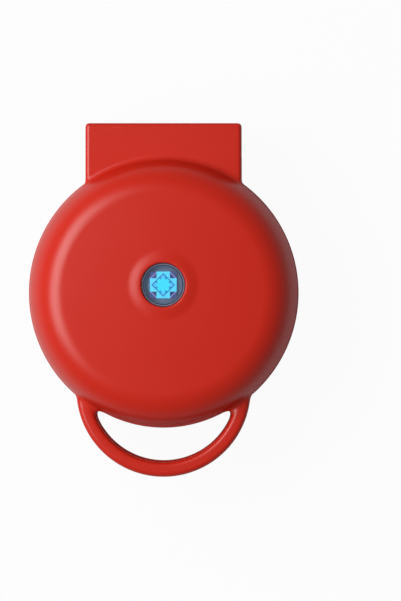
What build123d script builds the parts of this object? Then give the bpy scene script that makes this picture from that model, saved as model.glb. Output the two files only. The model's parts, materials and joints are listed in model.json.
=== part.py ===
from build123d import *
import math
import os

# Mini waffle maker with a hinged lid. Sizes are in millimetres.
# X runs across it, the handle points to -Y, the hinge is at +Y, and Z is up from the work surface.
# While it is modelled, the Z axis is the centre of the round housing.
# Each half is drawn once by its depth, the distance from the parting plane into that half.

# Housing
body_radius = 65.0
parting_height = 39.0
rim_setback = 0.8
housing_wall = 2.5
shoulder_width = 17.8
side_lean = 0.2
lid_side = 9.8
lid_depth = 32.0
lid_crown = 1.0
lid_end_easing = 2.3
base_side = 8.8
base_end_easing = 3.3
shoulder_steps = 4
foot_height = 3.5
overshoot = 1.0
sink = 1.0

# Hinge block at the rear
block_half_width = 37.6
block_overhang = 16.4
block_depth = 16.0
block_corner = 1.2
block_inner_corner = 0.4
block_edge = 1.4
block_web = 3.0

# Handle loop at the front, the same on both halves
handle_reach = 23.4
handle_radius = 42.0
handle_bar = 7.5
handle_top = 16.0
handle_thickness = 10.0
handle_edge = 1.6
handle_web = 5.0
handle_flank = 7.1
gap_back_radius = 60.0
gap_back_bite = 0.4
gap_corner = 3.0
root_setback = 1.2

# Hinge
hinge_setback = 8.9
hinge_rise = 2.0
hinge_open_angle = 100.0
barrel_radius = 5.6
barrel_bore = 2.56
ear_gap = 0.3
ear_wall_gap = 0.3
ear_thickness = 3.6
gusset_drop = 4.0
gusset_foot = 1.0
gusset_rise = 3.0
pin_radius = 2.5
pin_clearance = 0.02
pin_engagement = 8.9
pin_recess = 0.2
rib_thickness = 2.5
rib_setback = 0.56
outer_rib_inset = 4.9
inner_rib = 10.0
notch_front = 7.0
stop_gap = 0.35

# Waffle plates
plate_face = 0.1
plate_margin = 11.5
flange_width = 5.5
flange_thickness = 2.2
cavity_depth = 8.9
cavity_lean = 2.0
plate_wall = 1.6
plate_floor = 2.5
tooth_pitch = 15.6
tooth_root = 10.8
tooth_tip = 7.6
tooth_height = 6.5
tooth_border = 4.0
tooth_border_lean = 1.2
tooth_sliver = 2.0

# Heater and its channel on the back of each plate
heater_inset = 14.5
heater_width = 6.4
heater_height = 6.0
heater_gap_angle = 50.0
channel_clearance = 0.1
channel_wall = 2.2
channel_depth = 5.0
pin_setback_angle = 4.0
terminal_radius = 1.5
terminal_length = 6.5

# Heat shield
shield_sheet = 0.6
shield_flange_setback = 1.0
shield_side_gap = 0.2
shield_lean = 1.2
shield_air = 1.4
shield_boss_inset = 5.0
shield_boss_radius = 3.2
shield_boss_angles = (30.0, 150.0, 270.0)
shield_boss_floor = 0.5
shield_screw_length = 6.0
terminal_hole = 2.4

# Plate frame
frame_clearance = 0.2
frame_face = 1.5
frame_back = 4.5
frame_bore_gap = 1.0
frame_seat_gap = 0.3
frame_skirt = 1.5
frame_skirt_depth = 7.5
tab_back = 3.5
tab_gap = 0.2
lid_tab_gap = 0.7

# Screws
screw_ring_inset = 7.8
screw_angles = (45.0, 135.0, 225.0, 315.0)
fastener_sides = 6
post_radius = 3.2
post_hole_depth = 12.0
screw_shank = 1.25
screw_head = 2.4
screw_head_height = 1.4
screw_head_room = 0.2
screw_hole_room = 0.35
pilot_room = 0.05
small_shank = 0.95
small_head = 1.9
small_head_height = 1.2

# Thermostat, thermal fuse and clip, each on two bosses behind its plate
clip_half_span = 12.0
clip_boss_radius = 2.4
clip_boss_height = 3.0
clip_length = 30.0
clip_width = 7.0
clip_sheet = 0.8
thermostat_radius = 8.0
thermostat_cap_radius = 6.5
thermostat_cap_height = 2.2
thermostat_tab_width = 4.8
thermostat_tab_length = 6.0
thermostat_tab_sheet = 0.8
thermostat_tab_lift = 0.6
fuse_radius = 1.45
fuse_length = 12.0
fuse_lead_radius = 0.5
fuse_lead_length = 5.0

# Indicator in the lid
indicator_offset = 3.7
boss_radius = 15.0
boss_rise = 1.0
boss_lip = 11.4
boss_sink = 0.2
window_radius = 10.4
window_clearance = 0.1
window_recess = 0.6
window_thickness = 1.1
window_edge = 0.3
bezel_flange = 0.7
bezel_radius = 8.9
bezel_wall = 1.0
bezel_draft = 0.4
bezel_depth = 4.1
ledge_clearance = 0.1
jewel_width = 12.7
jewel_chamfer = 3.2
jewel_girdle = 1.2
jewel_table = 8.2
jewel_headroom = 0.1
light_hole = 3.0
board_post_x = 12.0
board_post_radius = 2.4
board_pilot_depth = 3.5
board_length = 30.0
board_width = 12.0
board_thickness = 1.2
led_radius = 2.5
led_height = 2.7
led_tip = 1.3
led_gap = 0.3

# Parts in the base
foot_radius = 6.0
foot_seat = 1.5
foot_clearance = 0.1
foot_draft = 0.5
front_foot_gap = 0.3
front_foot_angle = 43.0
rear_foot_gap = 5.6
gland_height = 17.0
gland_flange = 6.0
gland_flange_thickness = 1.5
gland_barrel = 4.1
gland_bore = 3.2
gland_nut = 5.6
gland_length = 6.5
gland_nut_thickness = 1.5
gland_clearance = 0.1
terminal_block_size = (28.0, 12.0, 12.0)
terminal_block_gap = 3.0
terminal_screw_pitch = 9.0
terminal_screw_radius = 1.9
terminal_screw_height = 3.0
terminal_screw_well = 4.0
terminal_screw_room = 0.1

# Leads
lead_radius = 1.0
lead_sides = 6
lead_clearance = 0.3
lead_end_gap = 0.1
axis_bend = 2.4
lead_bend = 3.0
lead_meeting_x = 10.0
lead_exit_x = 16.0
frame_lead_gap = 0.5
block_lead_drop = 3.0
block_lead_run = 6.0
notch_lead_run = 2.0
lid_lead_gap = 1.5
lid_lead_rise = 6.5
lid_lead_landing = 2.0
base_lead_drop = 4.0
base_lead_start = 9.0
base_lead_landing = 8.0
light_lead_x = 6.0
light_lead_start = 4.0
light_lead_landing = 6.0
barrel_slot_half_width = 2.2
cutter = 200.0

# Sizes that follow from the ones above
base_depth = parting_height - foot_height
shoulder_radius = body_radius - side_lean - shoulder_width
lid_end_radius = shoulder_width - lid_end_easing
base_end_radius = shoulder_width - base_end_easing
block_reach = body_radius + block_overhang
hinge_y = block_reach - hinge_setback
hinge_z = parting_height + hinge_rise
opening = math.radians(hinge_open_angle)
notch_drop = (hinge_setback * (1 - math.cos(opening)) + stop_gap) / math.sin(opening)
notch_floor = hinge_z - notch_drop
notch_wall_y = hinge_y - notch_front
ear_outer = block_half_width - housing_wall - ear_wall_gap
ear_inner = ear_outer - ear_thickness
barrel_half_length = ear_inner - ear_gap
outer_rib = barrel_half_length - outer_rib_inset
pin_inner_end = barrel_half_length - pin_engagement
lid_tab = hinge_y - barrel_radius - lid_tab_gap
base_tab = notch_wall_y - housing_wall - tab_gap
flange_radius = body_radius - plate_margin
cavity_radius = flange_radius - flange_width
tooth_clip = cavity_radius - tooth_border
heater_ring = cavity_radius - heater_inset
shield_boss_ring = cavity_radius - shield_boss_inset
frame_bore = cavity_radius + plate_wall + frame_bore_gap
shield_flange = flange_radius - shield_flange_setback
shield_top_radius = frame_bore - shield_side_gap
shield_floor_radius = shield_top_radius - shield_lean
screw_ring = body_radius - screw_ring_inset
floor_depth = plate_face + cavity_depth
back_depth = floor_depth + plate_floor
heater_back = back_depth + heater_height
shield_seat = heater_back + shield_air
shield_back = shield_seat + shield_sheet
seat_depth = plate_face + flange_thickness
clip_depth = back_depth + clip_boss_height
lid_top = lid_depth + lid_crown
boss_top = lid_top + boss_rise
window_bottom = boss_top - window_recess - window_thickness
ledge_top = window_bottom - bezel_flange
bezel_floor_top = window_bottom - bezel_depth + bezel_wall
led_top = bezel_floor_top - led_gap
board_depth = led_top - led_height
front_foot_ring = shoulder_radius - foot_radius - front_foot_gap
gap_radius = handle_radius - handle_flank
handle_center = handle_radius - body_radius - handle_reach
gap_center = handle_bar + gap_radius - body_radius - handle_reach
gap_back_center = gap_back_bite + gap_back_radius - body_radius
root_radius = body_radius - root_setback
pin_angle = math.radians(heater_gap_angle / 2 + pin_setback_angle)
pin_x = heater_ring * math.sin(pin_angle)
pin_y = heater_ring * math.cos(pin_angle)
terminal_end = heater_back + terminal_length
lead_depth = terminal_end - terminal_radius
origin_shift = (body_radius + handle_reach - block_reach) / 2


# Helpers
def in_lid(shape):
    return Pos(0, 0, parting_height) * shape


def in_base(shape):
    return Pos(0, 0, parting_height) * mirror(shape, about=Plane.XY)


def lathe(*points):
    """A solid of revolution about Z from points of radius and depth."""
    return revolve(Plane.XZ * make_face(Polyline(*points, close=True)), Axis.Z)


def block(x_range, y_range, z_range):
    """A plain block between the given limits."""
    low, high = zip(x_range, y_range, z_range)
    size = [b - a for a, b in zip(low, high)]
    return Pos(*low) * Box(*size, align=(Align.MIN, Align.MIN, Align.MIN))


def post(radius, z_range, x=0.0, y=0.0):
    """An upright cylinder between two heights."""
    height = z_range[1] - z_range[0]
    return Pos(x, y, z_range[0]) * Cylinder(radius, height, align=(Align.CENTER, Align.CENTER, Align.MIN))


def across(radius, x_range, y, z):
    """A cylinder along X."""
    middle = (x_range[0] + x_range[1]) / 2
    return Pos(middle, y, z) * Rot(0, 90, 0) * Cylinder(radius, x_range[1] - x_range[0])


def along(radius, y_range, x, z):
    """A cylinder along Y."""
    middle = (y_range[0] + y_range[1]) / 2
    return Pos(x, middle, z) * Rot(90, 0, 0) * Cylinder(radius, y_range[1] - y_range[0])


def shank_hole(radius, z_range):
    """A hole for a screw's shank, with as many sides as the shank."""
    low, high = z_range
    return Pos(0, 0, low) * extrude(RegularPolygon(radius, fastener_sides), high - low)


def on_ring(radius, angles):
    """Points on a circle about the housing's axis."""
    return [
        (radius * math.cos(math.radians(angle)), radius * math.sin(math.radians(angle)))
        for angle in angles
    ]


def copies(shape, points):
    """The same solid at several points, as one group."""
    return Part() + [Pos(x, y, 0) * shape for x, y in points]


def lead(points, bends, radius=lead_radius):
    """An insulated wire along straight runs with rounded bends."""
    route = FilletPolyline(*points, radius=bends)
    section = Plane(origin=route @ 0, z_dir=route % 0) * RegularPolygon(radius, lead_sides)
    return sweep(section, path=route)


def screw(start, head, head_height, shank, length):
    """A plain screw with a hexagon head at its start."""
    neck = start + head_height
    body = Pos(0, 0, neck) * extrude(RegularPolygon(shank, fastener_sides), length)
    return body + Pos(0, 0, start) * extrude(RegularPolygon(head, fastener_sides), head_height)


# Housing forms
def housing_outer(side, depth, crown, end_radius):
    """The round outer form of one half: upright side, two-arc shoulder and flat or crowned end."""
    upper = body_radius - side_lean
    width, height = upper - shoulder_radius, depth - side
    side_radius = (width**2 + height**2 - 2 * height * end_radius) / (2 * (width - end_radius))
    turn = math.degrees(math.atan2(height - end_radius, side_radius - width))
    if crown > 0:
        # The crown's arc passes through the middle of the end and is tangent to the end arc.
        drop = end_radius + crown
        crown_radius = (shoulder_radius**2 + drop**2 - end_radius**2) / (2 * crown)
        spread = math.degrees(math.asin(shoulder_radius / (crown_radius - end_radius)))
        end = CenterArc((0, depth + crown - crown_radius), crown_radius, 90 - spread, spread)
    else:
        spread = 0.0
        end = Line((shoulder_radius, depth), (0, depth))
    outline = [
        Line((0, rim_setback), (body_radius, rim_setback)),
        Line((body_radius, rim_setback), (upper, side)),
        CenterArc((upper - side_radius, side), side_radius, 0, turn),
        CenterArc((shoulder_radius, depth - end_radius), end_radius, turn, 90 - turn - spread),
        end,
        Line((0, depth + crown), (0, rim_setback)),
    ]
    return revolve(Plane.XZ * make_face(outline), Axis.Z)


def housing_inner(inset, side, depth, crown):
    """The room inside one half, with its shoulder in straight steps at least the wall away."""
    upper = body_radius - side_lean - inset
    outline = [(0, 0), (body_radius - inset, 0)]
    for step in range(shoulder_steps + 1):
        turn = math.radians(90 * step / shoulder_steps)
        radius = shoulder_radius + (upper - shoulder_radius) * math.cos(turn)
        outline.append((radius, side + (depth - inset - side) * math.sin(turn)))
    return lathe(*outline, (0, depth - inset + crown))


def finger_gap(depth):
    """The opening between the handle loop and the housing, down to a depth."""
    front = extrude(Pos(0, gap_center) * Circle(gap_radius), depth)
    gap = front - extrude(Pos(0, gap_back_center) * Circle(gap_back_radius), depth)
    return fillet(gap.edges().filter_by(Axis.Z), gap_corner)


def root_edges(solid):
    """Upright edges where the handle or the block grows from the housing."""
    found = []
    for edge in solid.edges().filter_by(Axis.Z):
        middle = edge.center()
        if abs(math.hypot(middle.X, middle.Y) - root_radius) < 0.01 and abs(middle.Y) > 1:
            found.append(edge)
    return found


def handle_loop():
    """The D-shaped handle, with its root running into the housing."""
    plan = Circle(root_radius) + Pos(0, handle_center) * Circle(handle_radius)
    loop = extrude(plan, handle_thickness)
    loop = fillet(root_edges(loop), handle_web) - finger_gap(handle_thickness)
    faces = loop.faces().sort_by(Axis.Z)
    loop = fillet(faces[0].edges() + faces[-1].edges(), handle_edge)
    return Pos(0, 0, handle_top - handle_thickness) * loop


def block_plan(inset):
    width = 2 * (block_half_width - inset)
    reach = block_reach - inset
    corner = max(block_corner - inset, block_inner_corner)
    return Pos(0, reach / 2) * RectangleRounded(width, reach, corner)


def lid_block():
    """The rear block of the lid, flared where its sides meet the round housing."""
    solid = extrude(Circle(root_radius) + block_plan(0), block_depth - rim_setback)
    solid = fillet(root_edges(solid), block_web)
    solid = fillet(solid.faces().sort_by(Axis.Z)[-1].edges(), block_edge)
    return Pos(0, 0, rim_setback) * solid


def base_block():
    """The rear block of the base, down to the underside."""
    solid = extrude(block_plan(0), base_depth - rim_setback)
    solid = fillet(solid.faces().sort_by(Axis.Z)[-1].edges(), block_edge)
    return Pos(0, 0, rim_setback) * solid


def frame_posts(form):
    """Screw posts that end on the plate frame and run into the housing's wall."""
    stock = copies(post(post_radius, (frame_back, cutter)), on_ring(screw_ring, screw_angles))
    return stock & form


def post_pilots():
    """Pilot holes for the frame screws."""
    hole = shank_hole(screw_shank + pilot_room, (frame_back, frame_back + post_hole_depth))
    return copies(hole, on_ring(screw_ring, screw_angles))


# Lid
def hinge_barrel():
    """The lid's hinge barrel, hung from the block by ribs."""
    rib_top = block_depth - housing_wall / 2
    reach = barrel_radius - rib_setback
    barrel = across(barrel_radius, (-barrel_half_length, barrel_half_length), hinge_y, hinge_rise)
    for x in (-outer_rib, -inner_rib, inner_rib, outer_rib):
        barrel += block(
            (x - rib_thickness / 2, x + rib_thickness / 2),
            (hinge_y - reach, hinge_y + reach), (hinge_rise, rib_top))
    barrel -= across(barrel_bore, (-barrel_half_length, barrel_half_length), hinge_y, hinge_rise)
    return barrel


def barrel_openings():
    """The slot for the lead from the base and the hole for the lead into the lid."""
    slot = block(
        (-barrel_slot_half_width, barrel_slot_half_width),
        (hinge_y - 2 * barrel_radius, hinge_y + 2 * barrel_radius),
        (hinge_rise - 2 * barrel_radius, hinge_rise + lead_clearance),
    )
    hole = post(lead_radius + lead_clearance, (hinge_rise, block_depth - housing_wall), lead_exit_x, hinge_y)
    return slot + hole


def indicator_boss():
    """The soft raised ring around the indicator."""
    root = lid_depth - housing_wall / 2
    foot = lid_top - boss_sink
    outline = [
        Line((0, root), (boss_radius, root)),
        Line((boss_radius, root), (boss_radius, foot)),
        TangentArc((boss_lip, boss_top), (boss_radius, foot), tangent=(1, 0)),
        Line((boss_lip, boss_top), (0, boss_top)),
        Line((0, boss_top), (0, root)),
    ]
    return Pos(0, indicator_offset) * revolve(Plane.XZ * make_face(outline), Axis.Z)


def indicator_bore():
    """The stepped bore that takes the window and the bezel."""
    seat = window_radius + window_clearance
    bore = lathe(
        (0, 0), (bezel_radius + ledge_clearance, 0), (bezel_radius + ledge_clearance, ledge_top),
        (seat, ledge_top), (seat, boss_top - window_edge), (seat + window_edge, boss_top),
        (seat + window_edge, cutter), (0, cutter),
    )
    return Pos(0, indicator_offset) * bore


def lid_shell():
    outer = housing_outer(lid_side, lid_depth, lid_crown, lid_end_radius)
    outer += lid_block()
    outer += handle_loop()
    outer -= finger_gap(cutter)
    outer += indicator_boss()
    inner = housing_inner(housing_wall, lid_side, lid_depth, lid_crown)
    room = block_depth - housing_wall
    inner += extrude(block_plan(housing_wall), room)
    shell = outer - inner
    posts = frame_posts(housing_inner(housing_wall / 2, lid_side, lid_depth, lid_crown))
    shell += posts
    for side in (-1, 1):
        shell += post(board_post_radius, (board_depth, lid_depth), side * board_post_x, indicator_offset)
    shell += hinge_barrel()
    shell -= post_pilots()
    shell -= barrel_openings()
    shell -= indicator_bore()
    pilot = shank_hole(small_shank + pilot_room, (board_depth, board_depth + board_pilot_depth))
    shell -= copies(pilot, board_points())
    return shell


# Base
def ear(side):
    """One of the two ears that carry the hinge pins."""
    x_range = sorted((side * ear_inner, side * ear_outer))
    low = hinge_z - barrel_radius
    high = parting_height - rim_setback
    root = notch_wall_y - housing_wall / 2
    gusset = Polyline(
        (root, low - gusset_drop), (notch_wall_y + gusset_foot, low - gusset_drop),
        (notch_wall_y + gusset_rise, low), (hinge_y, low), (hinge_y, high), (root, high), close=True)
    web = extrude(Plane.YZ * make_face(gusset), ear_thickness)
    solid = Pos(x_range[0], 0, 0) * web + across(barrel_radius, x_range, hinge_y, hinge_z)
    return solid - across(pin_radius + pin_clearance, x_range, hinge_y, hinge_z)


def base_cavity():
    """The room inside the base's rear block, in front of and under the hinge notch."""
    inner = extrude(block_plan(housing_wall), base_depth - housing_wall)
    under = parting_height - notch_floor + housing_wall
    over_notch = block(
        (-cutter, cutter), (notch_wall_y - housing_wall, cutter), (-cutter, under))
    return inner - over_notch


def base_shell():
    outer = housing_outer(base_side, base_depth, 0, base_end_radius)
    outer += base_block()
    outer += handle_loop()
    outer -= finger_gap(cutter)
    inner = housing_inner(housing_wall, base_side, base_depth, 0) + base_cavity()
    shell = outer - inner
    shell += frame_posts(housing_inner(housing_wall / 2, base_side, base_depth, 0))
    shell -= post_pilots()
    shell = in_base(shell)
    shell -= block((-cutter, cutter), (notch_wall_y, cutter), (notch_floor, cutter))
    shell += ear(-1)
    shell += ear(1)
    for x, y in foot_points():
        shell -= post(foot_radius + foot_clearance, (0, foot_height + foot_seat), x, y)
    flange = block_reach - gland_flange_thickness
    shell -= along(gland_flange + gland_clearance, (flange, block_reach + overshoot), 0, gland_height)
    shell -= along(gland_barrel + gland_clearance, (flange - 2 * housing_wall, flange), 0, gland_height)
    wall = (notch_wall_y - housing_wall - overshoot, notch_wall_y + overshoot)
    shell -= along(lead_radius + lead_clearance, wall, 0, hinge_lead_height())
    return shell


def foot_points():
    """Centres of the feet, the front pair under the round body and the rear pair under the block."""
    rear_x = block_half_width - foot_radius - rear_foot_gap
    rear_y = block_reach - foot_radius - rear_foot_gap
    front = on_ring(front_foot_ring, (180 + front_foot_angle, -front_foot_angle))
    return front + [(-rear_x, rear_y), (rear_x, rear_y)]


def foot(x, y):
    """A rubber foot in its round seat."""
    top = foot_height + foot_seat
    radius = foot_radius
    return Pos(x, y) * lathe(
        (0, 0), (radius - foot_draft, 0), (radius, foot_draft), (radius, top), (0, top))


# Plates
def tooth_grid():
    """Drafted square teeth in a square grid, cut off by a round border."""
    lean = math.degrees(math.atan((tooth_root - tooth_tip) / 2 / tooth_height))
    tooth = extrude(Rectangle(tooth_root, tooth_root), tooth_height, taper=lean)
    tooth = Pos(0, 0, floor_depth) * mirror(tooth, about=Plane.XY)
    count = int(tooth_clip // tooth_pitch) + 1
    reach = tooth_clip + tooth_border_lean
    teeth = []
    for i in range(-count, count + 1):
        for j in range(-count, count + 1):
            x, y = i * tooth_pitch, j * tooth_pitch
            nearest = math.hypot(abs(x) - tooth_tip / 2, abs(y) - tooth_tip / 2)
            if nearest < tooth_clip - tooth_sliver:
                teeth.append(Pos(x, y, 0) * tooth)
    border = lathe(
        (0, floor_depth - tooth_height), (tooth_clip, floor_depth - tooth_height),
        (reach, floor_depth), (0, floor_depth),
    )
    return (Part() + teeth) & border


def waffle_plate():
    """A cast plate: toothed dish, flange, heater channel and screw bosses."""
    floor_radius = cavity_radius - cavity_lean
    dish = lathe(
        (0, floor_depth), (floor_radius, floor_depth), (cavity_radius, plate_face),
        (flange_radius, plate_face), (flange_radius, seat_depth),
        (cavity_radius + plate_wall, seat_depth), (floor_radius + plate_wall, back_depth), (0, back_depth),
    )
    plate = dish + tooth_grid()
    rib_end = back_depth + channel_depth
    half_channel = heater_width / 2 + channel_clearance
    for inner in (heater_ring - half_channel - channel_wall, heater_ring + half_channel):
        plate += lathe(
            (inner, back_depth - sink), (inner + channel_wall, back_depth - sink),
            (inner + channel_wall, rib_end), (inner, rib_end),
        )
    boss = post(shield_boss_radius, (back_depth - sink, shield_seat))
    plate += copies(boss, on_ring(shield_boss_ring, shield_boss_angles))
    hole = shank_hole(screw_shank + pilot_room, (back_depth + shield_boss_floor, shield_seat))
    plate -= copies(hole, on_ring(shield_boss_ring, shield_boss_angles))
    plate += copies(post(clip_boss_radius, (back_depth - sink, clip_depth)), clip_points())
    plate -= copies(shank_hole(small_shank + pilot_room, (back_depth, clip_depth)), clip_points())
    return plate


def clip_points():
    return [(-clip_half_span, 0), (clip_half_span, 0)]


def heater():
    """The C-shaped element in the plate's channel, with its two terminals."""
    inner = heater_ring - heater_width / 2
    outer = heater_ring + heater_width / 2
    section = Plane.XZ * make_face(Polyline(
        (inner, back_depth), (outer, back_depth), (outer, heater_back), (inner, heater_back), close=True))
    ring = Rot(0, 0, 90 + heater_gap_angle / 2) * revolve(section, Axis.Z, 360 - heater_gap_angle)
    for side in (-1, 1):
        ring += post(terminal_radius, (heater_back - sink, terminal_end), side * pin_x, pin_y)
    return ring


def heat_shield():
    """A pressed pan over the heater that clamps the plate to its frame."""
    rim = frame_back + shield_sheet
    pan = lathe(
        (0, shield_seat), (shield_floor_radius - shield_sheet, shield_seat),
        (shield_top_radius - shield_sheet, frame_back), (shield_flange, frame_back),
        (shield_flange, rim), (shield_top_radius, rim),
        (shield_floor_radius, shield_back), (0, shield_back),
    )
    hole = shank_hole(screw_shank + screw_hole_room, (0, cutter))
    pan -= copies(hole, on_ring(shield_boss_ring, shield_boss_angles))
    pan -= copies(post(terminal_hole, (0, cutter)), [(-pin_x, pin_y), (pin_x, pin_y)])
    return pan


def plate_frame(tab_reach):
    """The heat-resistant ring that carries a plate and closes the housing around it."""
    outer = body_radius - housing_wall - frame_clearance
    seat = flange_radius + frame_seat_gap
    ring = lathe(
        (frame_bore, seat_depth), (seat, seat_depth), (seat, frame_face), (outer, frame_face),
        (outer, frame_skirt_depth), (outer - frame_skirt, frame_skirt_depth),
        (outer - frame_skirt, frame_back), (frame_bore, frame_back),
    )
    half_width = block_half_width - housing_wall - frame_clearance
    ring -= block((-half_width, half_width), (0, cutter), (frame_back, cutter))
    tab = block((-half_width, half_width), (0, tab_reach), (frame_face, tab_back))
    ring += tab - post(seat, (0, frame_back)) - post(outer - frame_skirt, (0, frame_back))
    hole = shank_hole(screw_shank + screw_hole_room, (0, frame_back))
    recess = post(screw_head + screw_head_room, (0, frame_face + screw_head_height + screw_head_room))
    return ring - copies(hole + recess, on_ring(screw_ring, screw_angles))


def frame_screws():
    start = frame_face + screw_head_room
    length = post_hole_depth - overshoot
    return copies(
        screw(start, screw_head, screw_head_height, screw_shank, length), on_ring(screw_ring, screw_angles))


def shield_screws():
    """Screws from behind the shield into the plate's bosses."""
    start = -shield_back - screw_head_height
    upright = screw(start, screw_head, screw_head_height, screw_shank, shield_screw_length)
    return copies(mirror(upright, about=Plane.XY), on_ring(shield_boss_ring, shield_boss_angles))


def small_screws(seat, length, points):
    """Small screws whose heads sit on a depth and whose shanks run towards the plate."""
    upright = screw(-seat - small_head_height, small_head, small_head_height, small_shank, length)
    return copies(mirror(upright, about=Plane.XY), points)


# Small parts behind the plates
def clip_strip(thickness):
    strip = Pos(0, 0, clip_depth) * extrude(SlotOverall(clip_length, clip_width), thickness)
    holes = copies(shank_hole(small_shank + screw_hole_room, (0, cutter)), clip_points())
    return strip - holes


def thermostat():
    """A disc thermostat on the lower plate, held by its own strip."""
    cap_start = clip_depth + clip_sheet
    body = post(thermostat_radius, (back_depth, clip_depth)) + clip_strip(clip_sheet)
    body += post(thermostat_cap_radius, (cap_start, cap_start + thermostat_cap_height))
    reach = thermostat_cap_radius + thermostat_tab_length
    tab_start = cap_start + thermostat_tab_lift
    half_width = thermostat_tab_width / 2
    return body + block(
        (-half_width, half_width), (-reach, reach), (tab_start, tab_start + thermostat_tab_sheet))


def thermal_fuse():
    """A small fuse with stub leads, under the clip of the upper plate."""
    middle = back_depth + clip_boss_height / 2
    half = fuse_length / 2
    reach = half + fuse_lead_length
    return along(fuse_radius, (-half, half), 0, middle) + along(fuse_lead_radius, (-reach, reach), 0, middle)


# Indicator
def indicator_window():
    top = window_bottom + window_thickness
    return Pos(0, indicator_offset) * lathe(
        (0, window_bottom), (window_radius, window_bottom), (window_radius, top - window_edge),
        (window_radius - window_edge, top), (0, top),
    )


def indicator_bezel():
    """The cup under the window that holds the jewel."""
    inner = bezel_radius - bezel_wall
    low = window_bottom - bezel_depth
    return Pos(0, indicator_offset) * lathe(
        (light_hole, low), (bezel_radius, low), (bezel_radius, ledge_top), (window_radius, ledge_top),
        (window_radius, window_bottom), (inner, window_bottom), (inner - bezel_draft, bezel_floor_top),
        (light_hole, bezel_floor_top),
    )


def indicator_jewel():
    """A square jewel with cut corners and a sloping crown up to its table."""
    outline = chamfer(Rectangle(jewel_width, jewel_width).vertices(), jewel_chamfer)
    girdle_top = bezel_floor_top + jewel_girdle
    crown_top = window_bottom - jewel_headroom
    girdle = Pos(0, 0, bezel_floor_top) * extrude(outline, jewel_girdle)
    table_chamfer = jewel_chamfer * jewel_table / jewel_width
    table = chamfer(Rectangle(jewel_table, jewel_table).vertices(), table_chamfer)
    crown = loft([Pos(0, 0, girdle_top) * outline, Pos(0, 0, crown_top) * table], ruled=True)
    return Pos(0, indicator_offset) * (girdle + crown)


def board_points():
    return [(-board_post_x, indicator_offset), (board_post_x, indicator_offset)]


def led_board():
    low = board_depth - board_thickness
    board = Pos(0, indicator_offset, low) * extrude(Rectangle(board_length, board_width), board_thickness)
    return board - copies(shank_hole(small_shank + screw_hole_room, (0, cutter)), board_points())


def board_screws():
    start = board_depth - board_thickness - small_head_height
    length = board_thickness + housing_wall
    return copies(screw(start, small_head, small_head_height, small_shank, length), board_points())


def status_led():
    return Pos(0, indicator_offset) * lathe(
        (0, board_depth), (led_radius, board_depth), (led_radius, led_top - led_tip),
        (led_radius - led_tip, led_top), (0, led_top),
    )


def indicator_leads():
    """Two leads from the light board's rear edge to the heater terminals."""
    start_y = indicator_offset + board_width / 2 + lead_end_gap
    end_y = pin_y - terminal_radius - lead_end_gap
    level = board_depth - board_thickness / 2
    leads = []
    for side in (-1, 1):
        x = side * light_lead_x
        points = [
            (x, start_y, level), (x, start_y + light_lead_start, level),
            (side * pin_x, end_y - light_lead_landing, lead_depth), (side * pin_x, end_y, lead_depth),
        ]
        leads.append(lead(points, [lead_bend, lead_bend]))
    return Part() + leads


# Wiring and the parts in the base
def hinge_lead_height():
    """Height of the hole where the lead to the lid leaves the base."""
    return parting_height - frame_back - lead_radius - lead_clearance - frame_lead_gap


def hinge_lead_base():
    """The lead that goes up from the terminal block and into the hinge barrel."""
    start_y = block_front_y()
    rise_y = start_y - block_lead_run
    low_z = gland_height - block_lead_drop
    high_z = hinge_lead_height()
    points = [
        (0, start_y - lead_end_gap, low_z), (0, rise_y, low_z), (0, rise_y, high_z),
        (0, notch_wall_y + notch_lead_run, high_z), (0, hinge_y, hinge_z),
        (lead_meeting_x, hinge_y, hinge_z),
    ]
    return lead(points, [lead_bend, lead_bend, lead_bend, axis_bend])


def hinge_lead_lid():
    """The lead that leaves the barrel and goes to one of the upper heater's terminals."""
    exit_depth = block_depth - housing_wall - lead_radius - lid_lead_gap
    end_y = pin_y + terminal_radius + lead_end_gap
    points = [
        (lead_meeting_x + lead_clearance, hinge_y, hinge_rise), (lead_exit_x, hinge_y, hinge_rise),
        (lead_exit_x, hinge_y, exit_depth), (lead_exit_x, shield_flange + lid_lead_rise, exit_depth),
        (pin_x, shield_flange - lid_lead_landing, lead_depth), (pin_x, end_y, lead_depth),
    ]
    return lead(points, [axis_bend, lead_bend, lead_bend, lead_bend])


def block_front_y():
    """The front face of the terminal block."""
    return block_reach - gland_length - terminal_block_gap - terminal_block_size[1]


def terminal_block():
    """The insulating block where the mains lead ends, on the base's floor."""
    width, depth, height = terminal_block_size
    low = foot_height + housing_wall
    y = block_front_y()
    body = block((-width / 2, width / 2), (y, y + depth), (low, low + height))
    wells = (low + height - terminal_screw_well, low + height)
    return body - copies(shank_hole(terminal_screw_radius + terminal_screw_room, wells), terminal_points())


def terminal_points():
    y = block_front_y() + terminal_block_size[1] / 2
    return [(x, y) for x in (-terminal_screw_pitch, 0.0, terminal_screw_pitch)]


def terminal_screws():
    low = foot_height + housing_wall + terminal_block_size[2] - terminal_screw_well
    return copies(
        shank_hole(terminal_screw_radius, (low, low + terminal_screw_height)), terminal_points())


def base_leads():
    """Two leads from the terminal block to the lower heater's terminals."""
    start_y = block_front_y() - lead_end_gap
    end_y = pin_y + terminal_radius + lead_end_gap
    z = parting_height - lead_depth
    leads = []
    for side in (-1, 1):
        x = side * terminal_screw_pitch
        points = [
            (x, start_y, z - base_lead_drop), (x, start_y - base_lead_start, z - base_lead_drop),
            (side * pin_x, end_y + base_lead_landing, z), (side * pin_x, end_y, z),
        ]
        leads.append(lead(points, [lead_bend, lead_bend]))
    return Part() + leads


def cord_gland():
    """The plain bush in the rear wall that the mains lead would pass through."""
    face = block_reach
    bush = along(gland_flange, (face - gland_flange_thickness, face), 0, gland_height)
    bush += along(gland_barrel, (face - gland_length, face), 0, gland_height)
    nut = extrude(RegularPolygon(gland_nut, fastener_sides), gland_nut_thickness)
    bush += Pos(0, face - housing_wall, gland_height) * Rot(90, 0, 0) * nut
    return bush - along(gland_bore, (face - gland_length, face), 0, gland_height)


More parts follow.
